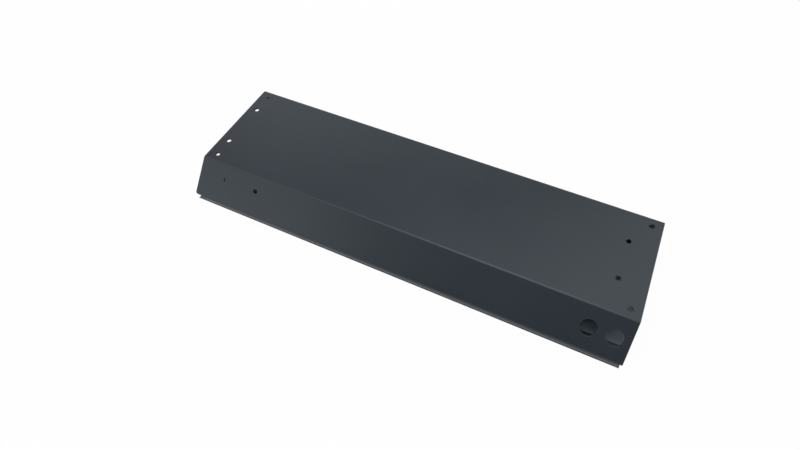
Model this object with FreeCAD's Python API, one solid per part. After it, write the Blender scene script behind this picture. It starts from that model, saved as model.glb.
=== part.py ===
"""Sheet metal chassis: one strip of 2 mm steel folded into a long open channel.

The section runs front return flange, sloped front wall, flat top, upright back
wall, back return flange. Both ends are open. The holes in the top take end
panels and brackets, and those in the sloped wall take a screw, an indicator
and two panel-mounted buttons.

Frame: millimetres, X along the folds, Y from the sloped front to the back,
Z up. The origin is the middle of the footprint, on the surface it stands on.
"""
import FreeCAD, Part
import math
import os

from FreeCAD import Vector

# Overall sizes
length = 500.0            # along the folds
depth = 160.0             # front lip to back face
height = 41.0             # underside of the return flanges to top face
sheet = 2.0               # thickness of the sheet
slope = 45.0              # sloped wall, degrees away from upright

# Inside bend radii
top_fold_radius = 2.0     # sloped wall to top
lip_fold_radius = 4.0     # front return flange to sloped wall
back_fold_radius = 2.0    # top to back wall, and back wall to its flange

# Return flanges, turned inwards along the bottom
front_flange = 24.0       # lip to free edge
back_flange = 24.0        # back face to free edge
left_setback = 12.0       # flanges stop short of the left end
right_setback = 3.0       # flanges stop short of the right end
setback_lean = 2.0        # how far a flange's end leans over the depth of its bend
relief_turn = 24.0        # degrees of the bend that the wall keeps beside a flange's end
left_foot_radius = 3.0    # corner at the foot of each wall, left end
right_foot_radius = 1.0   # corner at the foot of each wall, right end

# Holes in the top, in pairs across it: diameter, distance from the end. The panel
# pairs are placed from the top's two long edges, and all pairs share a middle line
panel_hole_from_back = 12.0     # from the back face
panel_hole_from_fold = 9.5      # from the corner line of the top fold
left_panel_pair = (4.5, 12.5)
right_panel_pair = (6.0, 11.6)
left_bracket_pair = (5.2, 11.0)
left_bracket_pitch = 58.5
right_bracket_pair = (5.2, 29.3)
right_bracket_pitch = 48.0

# Holes in the sloped wall: diameter, distance from the end
small_hole_drop = 17.8    # down the slope, from the corner line of the top fold
screw_hole = (4.2, 35.1)
indicator_hole = (5.0, 76.5)
button_hole_drop = 22.75
button_hole_diameter = 16.5
button_hole_from_end = 15.6
button_hole_pitch = 24.8

# Cut edges, broken before coating
edge_round = 0.3
rim_bevel = 0.3
button_rim_round = 0.6

# Cutters reach this far past what they cut
over = 5.0

# Worked out from the sizes above
half_length = length / 2
front_y = -depth / 2
back_y = depth / 2
slope_angle = math.radians(slope)
lip_outer = lip_fold_radius + sheet
down_slope = Vector(0, -math.sin(slope_angle), -math.cos(slope_angle))
out_of_slope = Vector(0, -math.cos(slope_angle), math.sin(slope_angle))

# The top fold's corner line is placed so that the round lip ends at front_y
lip_shift = lip_outer - lip_outer / math.cos(slope_angle)
fold_y = front_y + lip_shift + (height - lip_outer) * math.tan(slope_angle)
fold_corner = Vector(0, fold_y, height)
lip_corner = Vector(0, fold_y - height * math.tan(slope_angle), 0)
back_top = Vector(0, back_y, height)
back_foot = Vector(0, back_y, 0)
front_free_edge = Vector(0, front_y + front_flange, 0)
back_free_edge = Vector(0, back_y - back_flange, 0)
panel_back_y = back_y - panel_hole_from_back
panel_front_y = fold_y + panel_hole_from_fold
pairs_middle_y = (panel_back_y + panel_front_y) / 2
panel_pitch = panel_back_y - panel_front_y


class Fold:
    """One bend of the section: its centre, its radii and where its arcs start and end."""

    def __init__(self, before, corner, after, inside_radius):
        to_before = (before - corner).normalize()
        to_after = (after - corner).normalize()
        bisector = (to_before + to_after).normalize()
        half_angle = to_before.getAngle(to_after) / 2
        self.inside_radius = inside_radius
        self.outside_radius = inside_radius + sheet
        run = self.outside_radius / math.tan(half_angle)
        self.centre = corner + bisector * (self.outside_radius / math.sin(half_angle))
        self.start = (corner + to_before * run - self.centre).normalize()
        self.middle = bisector * -1
        self.end = (corner + to_after * run - self.centre).normalize()

    def outside_arc(self):
        directions = (self.start, self.middle, self.end)
        return Part.Arc(*[self.centre + d * self.outside_radius for d in directions])

    def inside_arc(self):
        directions = (self.end, self.middle, self.start)
        return Part.Arc(*[self.centre + d * self.inside_radius for d in directions])


def path_through(arcs, start, end):
    """Edges from start to end through the arcs, joined by straight lines."""
    edges = []
    here = start
    for arc in arcs:
        edges.append(Part.LineSegment(here, arc.StartPoint).toShape())
        edges.append(arc.toShape())
        here = arc.EndPoint
    edges.append(Part.LineSegment(here, end).toShape())
    return edges


def prism(points, along):
    """A polygon carried along a vector."""
    return Part.Face(Part.makePolygon(points + [points[0]])).extrude(along)


def folded_strip(folds):
    """The section carried along X, with square ends and no holes."""
    rise = Vector(0, 0, sheet)
    outside = [fold.outside_arc() for fold in folds]
    inside = [fold.inside_arc() for fold in reversed(folds)]
    edges = path_through(outside, front_free_edge, back_free_edge)
    edges.append(Part.LineSegment(back_free_edge, back_free_edge + rise).toShape())
    edges += path_through(inside, back_free_edge + rise, front_free_edge + rise)
    edges.append(Part.LineSegment(front_free_edge + rise, front_free_edge).toShape())
    section = Part.Face(Part.Wire(edges))
    section.translate(Vector(-half_length, 0, 0))
    return section.extrude(Vector(length, 0, 0))


class ReturnFlange:
    """A return flange's bend, free edge and the line where the wall beside it is cut."""

    def __init__(self, fold, wall_end, free_edge):
        self.fold = fold
        self.free_edge = free_edge
        self.inward = 1 if free_edge.y > fold.centre.y else -1
        wall_angle = math.atan2(wall_end.z, wall_end.y)
        relief_angle = wall_angle + self.inward * math.radians(relief_turn)
        self.relief = Vector(0, math.cos(relief_angle), math.sin(relief_angle))

    def end_cutter(self, side, setback):
        """Stops the flange short of one end: side is -1 at the left and +1 at the right."""
        centre = self.fold.centre
        far = self.fold.outside_radius + over
        end_x = side * half_length

        # In the section: the bend past the relief line, and the whole flange
        beyond = self.free_edge.y + self.inward * over
        past_relief = [
            centre,
            centre + self.relief * (2 * far),
            Vector(0, centre.y - self.inward * 3 * far, -far),
            Vector(0, beyond, -far),
            Vector(0, beyond, centre.z),
        ]
        run = Vector(2 * length, 0, 0)
        flange_side = prism([point - run / 2 for point in past_relief], run)

        # Along the strip: the last stretch, with an inner side that leans over the bend
        foot = centre + self.relief * self.fold.outside_radius
        at_foot = end_x - side * setback
        at_bottom = at_foot - side * setback_lean
        outside_end = end_x + side * over
        last_stretch = [
            Vector(outside_end, -depth, -far),
            Vector(outside_end, -depth, height),
            Vector(at_foot, -depth, height),
            Vector(at_foot, -depth, foot.z),
            Vector(at_bottom, -depth, 0),
            Vector(at_bottom, -depth, -far),
        ]
        return flange_side.common(prism(last_stretch, Vector(0, 2 * depth, 0)))

    def foot_corner(self, shape, side):
        """The short edge across the sheet at the foot of the wall, at one end."""
        mid_radius = self.fold.inside_radius + sheet / 2
        place = self.fold.centre + self.relief * mid_radius + Vector(side * half_length, 0, 0)
        return min(shape.Edges, key=lambda edge: edge.CenterOfMass.distanceToPoint(place))


def hole_cutter(centre, axis, diameter):
    """A drill through the sheet, centred on a point of its outer face."""
    reach = sheet + over
    return Part.makeCylinder(diameter / 2, 2 * reach, centre - axis * reach, axis)


def top_pair_cutters(pair, pitch, side):
    """Two equal holes across the top, one each side of the pairs' middle line."""
    diameter, from_end = pair
    x = side * (half_length - from_end)
    places = [Vector(x, pairs_middle_y + half, height) for half in (-pitch / 2, pitch / 2)]
    return [hole_cutter(place, Vector(0, 0, 1), diameter) for place in places]


def slope_hole_cutter(x, drop, diameter):
    return hole_cutter(fold_corner + Vector(x, 0, 0) + down_slope * drop, out_of_slope, diameter)


def edge_turn(shape, edge):
    """Degrees between the normals of the two faces that meet at an edge."""
    point = edge.valueAt((edge.FirstParameter + edge.LastParameter) / 2)
    normals = []
    for face in shape.ancestorsOfType(edge, Part.Face):
        u, v = face.Surface.parameter(point)
        normals.append(face.normalAt(u, v))
    if len(normals) != 2:
        return 0.0
    return math.degrees(normals[0].getAngle(normals[1]))


def sharp_rims(shape):
    """Rims of the holes, on both faces of the sheet, that no cut has broken yet."""
    circles = [edge for edge in shape.Edges if isinstance(edge.Curve, Part.Circle) and edge.isClosed()]
    return [circle for circle in circles if edge_turn(shape, circle) > 60]


def button_rims(shape):
    """Rims of the button holes on the outer face of the sloped wall."""
    found = []
    for rim in sharp_rims(shape):
        height_over_face = (rim.Curve.Center - fold_corner).dot(out_of_slope)
        if abs(rim.Curve.Radius - button_hole_diameter / 2) < 1e-6 and abs(height_over_face) < 1e-6:
            found.append(rim)
    return found


def cut_edges(shape):
    """Sharp edges along the sheet's two faces, without those across its thickness."""
    found = []
    for edge in shape.Edges:
        across = abs(edge.Length - sheet) < 1e-3
        if not across and edge_turn(shape, edge) > 60:
            found.append(edge)
    return found


def folded_chassis():
    lip = Fold(front_free_edge, lip_corner, fold_corner, lip_fold_radius)
    top_fold = Fold(lip_corner, fold_corner, back_top, top_fold_radius)
    back_fold = Fold(fold_corner, back_top, back_foot, back_fold_radius)
    heel = Fold(back_top, back_foot, back_free_edge, back_fold_radius)
    body = folded_strip([lip, top_fold, back_fold, heel])

    flanges = [
        ReturnFlange(lip, lip.end, front_free_edge),
        ReturnFlange(heel, heel.start, back_free_edge),
    ]
    cutters = []
    for flange in flanges:
        cutters.append(flange.end_cutter(-1, left_setback))
        cutters.append(flange.end_cutter(1, right_setback))

    cutters += top_pair_cutters(left_panel_pair, panel_pitch, -1)
    cutters += top_pair_cutters(left_bracket_pair, left_bracket_pitch, -1)
    cutters += top_pair_cutters(right_panel_pair, panel_pitch, 1)
    cutters += top_pair_cutters(right_bracket_pair, right_bracket_pitch, 1)

    for diameter, from_end in (screw_hole, indicator_hole):
        cutters.append(slope_hole_cutter(from_end - half_length, small_hole_drop, diameter))
    for step in range(2):
        x = half_length - button_hole_from_end - step * button_hole_pitch
        cutters.append(slope_hole_cutter(x, button_hole_drop, button_hole_diameter))
    body = body.cut(cutters).removeSplitter()

    for flange in flanges:
        body = body.makeFillet(left_foot_radius, [flange.foot_corner(body, -1)])
        body = body.makeFillet(right_foot_radius, [flange.foot_corner(body, 1)])
    body = body.makeFillet(button_rim_round, button_rims(body))
    body = body.makeChamfer(rim_bevel, sharp_rims(body))
    return body.makeFillet(edge_round, cut_edges(body)).Solids[0]


def main():
    os.makedirs("parts", exist_ok=True)
    shape = folded_chassis()
    box = shape.BoundBox
    print("folded_chassis", shape.ShapeType, "solids", len(shape.Solids), "valid", shape.isValid())
    print("volume %.1f, size %.3f x %.3f x %.3f" % (shape.Volume, box.XLength, box.YLength, box.ZLength))
    shape.exportStep("parts/folded_chassis.step")


main()
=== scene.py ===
import math

import bpy
from mathutils import Matrix, Vector


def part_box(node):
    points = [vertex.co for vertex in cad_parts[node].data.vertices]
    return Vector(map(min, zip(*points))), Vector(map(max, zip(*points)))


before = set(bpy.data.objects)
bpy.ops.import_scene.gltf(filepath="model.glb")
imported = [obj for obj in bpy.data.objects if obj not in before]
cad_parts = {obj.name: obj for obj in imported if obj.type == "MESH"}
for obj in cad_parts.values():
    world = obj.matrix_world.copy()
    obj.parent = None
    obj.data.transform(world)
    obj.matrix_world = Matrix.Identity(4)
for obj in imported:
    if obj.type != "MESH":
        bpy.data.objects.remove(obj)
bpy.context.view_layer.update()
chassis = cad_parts["folded_chassis"]
lowest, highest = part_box("folded_chassis")
print("frame loaded:", len(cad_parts), "node")


# ---- small helpers for node trees ----

def addNode(tree, kind, x, y, **settings):
    node = tree.nodes.new(kind)
    node.location = (x, y)
    for name, value in settings.items():
        setattr(node, name, value)
    return node


def setInputs(node, **values):
    for name, value in values.items():
        node.inputs[name.replace("_", " ")].default_value = value


def active(sockets, name):
    # a mix node has a socket of each name for each kind of value, and uses one of them
    return next(socket for socket in sockets if socket.name == name and socket.enabled)


def newGroup(name, inputs, outputs):
    # both: label -> socket type
    group = bpy.data.node_groups.new(name, "ShaderNodeTree")
    for label, kind in inputs.items():
        group.interface.new_socket(label, in_out="INPUT", socket_type=kind)
    for label, kind in outputs.items():
        group.interface.new_socket(label, in_out="OUTPUT", socket_type=kind)
    return group, addNode(group, "NodeGroupInput", -900, 0), addNode(group, "NodeGroupOutput", 700, 0)


# ---- the powder coat ----

coat = {
    "tint": (0.0250, 0.0320, 0.0415),
    "darkTint": (0.0215, 0.0280, 0.0370),
    "sheen": (0.87, 0.94, 1.0),     # colour of the gloss
    "roughness": (0.32, 0.38),      # least and most
    "peel": (900.0, 1.0),           # scale per metre, then detail
    "fleck": (1400.0, 2.0),
    "cloud": (11.0, 2.5),
    "noiseRoughness": 0.55,
    "noiseSpan": (0.3, 0.7),        # the part of a noise's range that is spread over the whole
    "fleckShare": 0.35,             # of the tone, the rest is the broad clouds
    "peelHeight": 0.000012,         # metres
    "peelStrength": 0.35,
}


def coatTexture():
    # the flow ripples of the cured powder, its fleck and its slow drifts of tone
    group, given, made = newGroup(
        "coatTexture",
        {"Place": "NodeSocketVector"},
        {"Tone": "NodeSocketFloat", "Ripple": "NodeSocketFloat", "Satin": "NodeSocketFloat"})
    sources = {}
    for row, name in enumerate(("peel", "fleck", "cloud")):
        scale, detail = coat[name]
        noise = addNode(group, "ShaderNodeTexNoise", -600, 300 - 300 * row)
        setInputs(noise, Scale=scale, Detail=detail, Roughness=coat["noiseRoughness"])
        group.links.new(given.outputs["Place"], noise.inputs["Vector"])
        sources[name] = noise
    tone = addNode(group, "ShaderNodeMix", -200, 0)
    active(tone.inputs, "Factor").default_value = coat["fleckShare"]
    group.links.new(sources["cloud"].outputs[0], active(tone.inputs, "A"))
    group.links.new(sources["fleck"].outputs[0], active(tone.inputs, "B"))
    spread = addNode(group, "ShaderNodeMapRange", 100, 0)
    setInputs(spread, From_Min=coat["noiseSpan"][0], From_Max=coat["noiseSpan"][1])
    group.links.new(active(tone.outputs, "Result"), spread.inputs["Value"])
    group.links.new(spread.outputs[0], made.inputs["Tone"])
    group.links.new(sources["peel"].outputs[0], made.inputs["Ripple"])
    group.links.new(sources["cloud"].outputs[0], made.inputs["Satin"])
    return group


def makeCoat():
    material = bpy.data.materials.new("powder_coat")
    material.use_nodes = True
    tree = material.node_tree
    shader = tree.nodes["Principled BSDF"]
    shader.inputs["Specular Tint"].default_value = (*coat["sheen"], 1)
    place = addNode(tree, "ShaderNodeTexCoord", -1300, 0)
    texture = addNode(tree, "ShaderNodeGroup", -1050, 0)
    texture.node_tree = coatTexture()
    tree.links.new(place.outputs["Object"], texture.inputs["Place"])

    colour = addNode(tree, "ShaderNodeMix", -600, 200, data_type="RGBA")
    active(colour.inputs, "A").default_value = (*coat["darkTint"], 1)
    active(colour.inputs, "B").default_value = (*coat["tint"], 1)
    tree.links.new(texture.outputs["Tone"], active(colour.inputs, "Factor"))
    tree.links.new(active(colour.outputs, "Result"), shader.inputs["Base Color"])

    satin = addNode(tree, "ShaderNodeMapRange", -600, -100)
    setInputs(satin, From_Min=coat["noiseSpan"][0], From_Max=coat["noiseSpan"][1])
    setInputs(satin, To_Min=coat["roughness"][0], To_Max=coat["roughness"][1])
    tree.links.new(texture.outputs["Satin"], satin.inputs["Value"])
    tree.links.new(satin.outputs[0], shader.inputs["Roughness"])

    ripple = addNode(tree, "ShaderNodeBump", -600, -400)
    setInputs(ripple, Strength=coat["peelStrength"], Distance=coat["peelHeight"])
    tree.links.new(texture.outputs["Ripple"], ripple.inputs["Height"])
    tree.links.new(ripple.outputs[0], shader.inputs["Normal"])
    return material


coatMaterial = makeCoat()
for slot in chassis.material_slots:
    slot.material = coatMaterial
print("coat on", len(chassis.material_slots), "slot")


# ---- the floor ----

floorPaper = {
    "half": 6.0,               # metres from the middle to each edge
    "colour": (0.85, 0.85, 0.85),
    "paintedShade": (0.20, 0.24, 0.29),    # painted shade: a darker, cool paper colour under the chassis that stands in for the shade there
    "lift": 0.97,              # how far the paper is lifted to white where it is seen directly
    "gap": 0.0002,             # below the feet
    "inset": 0.001,            # the painted shade ends this far inside the footprint
}


def makeFloor():
    half = floorPaper["half"]
    mesh = bpy.data.meshes.new("floor")
    corners = [(-half, -half, 0), (half, -half, 0), (half, half, 0), (-half, half, 0)]
    mesh.from_pydata(corners, [], [(0, 1, 2, 3)])
    mesh.transform(Matrix.Translation((0, 0, lowest.z - floorPaper["gap"])))
    floor = bpy.data.objects.new("floor", mesh)
    bpy.context.scene.collection.objects.link(floor)
    material = bpy.data.materials.new("floor_paper_with_painted_shade")
    material.use_nodes = True
    tree = material.node_tree
    tree.nodes.clear()
    output = addNode(tree, "ShaderNodeOutputMaterial", 800, 0)
    mix = addNode(tree, "ShaderNodeMixShader", 600, 0)
    paper = addNode(tree, "ShaderNodeBsdfDiffuse", 300, 100)
    white = addNode(tree, "ShaderNodeEmission", 300, -100)
    setInputs(white, Strength=1.0)
    path = addNode(tree, "ShaderNodeLightPath", -600, 200)
    seen = addNode(tree, "ShaderNodeMath", -400, 200, operation="ADD")
    tree.links.new(path.outputs["Is Camera Ray"], seen.inputs[0])
    tree.links.new(path.outputs["Is Glossy Ray"], seen.inputs[1])
    seenToo = addNode(tree, "ShaderNodeMath", -200, 200, operation="ADD", use_clamp=True)
    tree.links.new(seen.outputs[0], seenToo.inputs[0])
    tree.links.new(path.outputs["Is Transmission Ray"], seenToo.inputs[1])

    # clear of the footprint: 0 under the chassis, 1 from its edges outwards; it puts the painted
    # shade colour under the chassis and the lift to white outside
    place = addNode(tree, "ShaderNodeTexCoord", -1000, -100)
    split = addNode(tree, "ShaderNodeSeparateXYZ", -800, -100)
    tree.links.new(place.outputs["Object"], split.inputs[0])
    outside = []
    for row, (axis, edge) in enumerate((("X", highest.x), ("Y", highest.y))):
        size = addNode(tree, "ShaderNodeMath", -600, -100 - 160 * row, operation="ABSOLUTE")
        tree.links.new(split.outputs[axis], size.inputs[0])
        past = addNode(tree, "ShaderNodeMath", -400, -100 - 160 * row, operation="GREATER_THAN")
        tree.links.new(size.outputs[0], past.inputs[0])
        past.inputs[1].default_value = edge - floorPaper["inset"]
        outside.append(past)
    clear = addNode(tree, "ShaderNodeMath", -200, -100, operation="MAXIMUM")
    tree.links.new(outside[0].outputs[0], clear.inputs[0])
    tree.links.new(outside[1].outputs[0], clear.inputs[1])
    # painted shade: the paper takes the darker, cool colour under the chassis in place of the shade
    # there
    shade = addNode(tree, "ShaderNodeMix", 100, 400, data_type="RGBA")
    active(shade.inputs, "A").default_value = (*floorPaper["paintedShade"], 1)
    active(shade.inputs, "B").default_value = (*floorPaper["colour"], 1)
    tree.links.new(clear.outputs[0], active(shade.inputs, "Factor"))
    tree.links.new(active(shade.outputs, "Result"), paper.inputs["Color"])
    both = addNode(tree, "ShaderNodeMath", 0, 100, operation="MULTIPLY")
    tree.links.new(seenToo.outputs[0], both.inputs[0])
    tree.links.new(clear.outputs[0], both.inputs[1])
    lift = addNode(tree, "ShaderNodeMath", 150, 100, operation="MULTIPLY")
    tree.links.new(both.outputs[0], lift.inputs[0])
    lift.inputs[1].default_value = floorPaper["lift"]
    tree.links.new(lift.outputs[0], mix.inputs[0])
    tree.links.new(paper.outputs[0], mix.inputs[1])
    tree.links.new(white.outputs[0], mix.inputs[2])
    tree.links.new(mix.outputs[0], output.inputs["Surface"])
    mesh.materials.append(material)


makeFloor()
print("floor made")


# ---- light ----

softbox = {"size": 0.9, "away": 1.6}     # metres

# azimuth from +X towards +Y and height above the floor, in degrees, then brightness
lamps = {
    "overhead": (90, 90, 2.0),
    "overheadFront": (280, 72, 1.8),
    "overheadBack": (90, 70, 0.7),
    "backRightHigh": (50, 50, 1.2),
    "back": (90, 25, 0.7),
    "backLeft": (130, 30, 0.9),
    "leftHigh": (200, 55, 1.3),
    "leftFront": (230, 25, 0.8),
    "leftFrontLow": (235, 10, 0.6),
    "leftLow": (180, 10, 1.2),
}
worldLevel = 0.2


def makeLamp(name, azimuth, height, brightness):
    light = bpy.data.lights.new(name, "AREA")
    light.shape = "SQUARE"
    light.size = softbox["size"]
    light.energy = brightness * math.pi * softbox["size"] ** 2
    lamp = bpy.data.objects.new(name, light)
    bpy.context.scene.collection.objects.link(lamp)
    around = math.radians(azimuth)
    above = math.radians(height)
    flat = math.cos(above)
    aim = Vector((math.cos(around) * flat, math.sin(around) * flat, math.sin(above)))
    place = aim * softbox["away"]
    turn = (-place).to_track_quat("-Z", "Y")
    lamp.matrix_world = Matrix.Translation(place) @ turn.to_matrix().to_4x4()


for lampName, (lampAzimuth, lampHeight, lampBrightness) in lamps.items():
    makeLamp(lampName, lampAzimuth, lampHeight, lampBrightness)

world = bpy.data.worlds.new("studio")
bpy.context.scene.world = world
world.use_nodes = True
world.node_tree.nodes["Background"].inputs["Strength"].default_value = worldLevel
world.node_tree.nodes["Background"].inputs["Color"].default_value = (1, 1, 1, 1)
print("lamps made:", len(lamps))


# ---- camera ----

viewpoint = {
    "place": (0.1542, -0.3424, 0.5065),
    "forward": (-0.2678, 0.5244, -0.8083),
    "right": (0.9013, 0.4328, -0.0178),
    "lens": 24.65,             # millimetres
    "sensor": 36.0,            # millimetres wide
    "nearest": 0.01,
}


def makeCamera():
    data = bpy.data.cameras.new("camera")
    data.sensor_width = viewpoint["sensor"]
    data.lens = viewpoint["lens"]
    data.clip_start = viewpoint["nearest"]
    camera = bpy.data.objects.new("camera", data)
    bpy.context.scene.collection.objects.link(camera)
    back = -Vector(viewpoint["forward"]).normalized()
    side = Vector(viewpoint["right"])
    side = (side - back * side.dot(back)).normalized()
    up = back.cross(side)
    turn = Matrix((side, up, back)).transposed()
    camera.matrix_world = Matrix.Translation(viewpoint["place"]) @ turn.to_4x4()
    bpy.context.scene.camera = camera


makeCamera()
bpy.context.scene.view_settings.view_transform = "Standard"
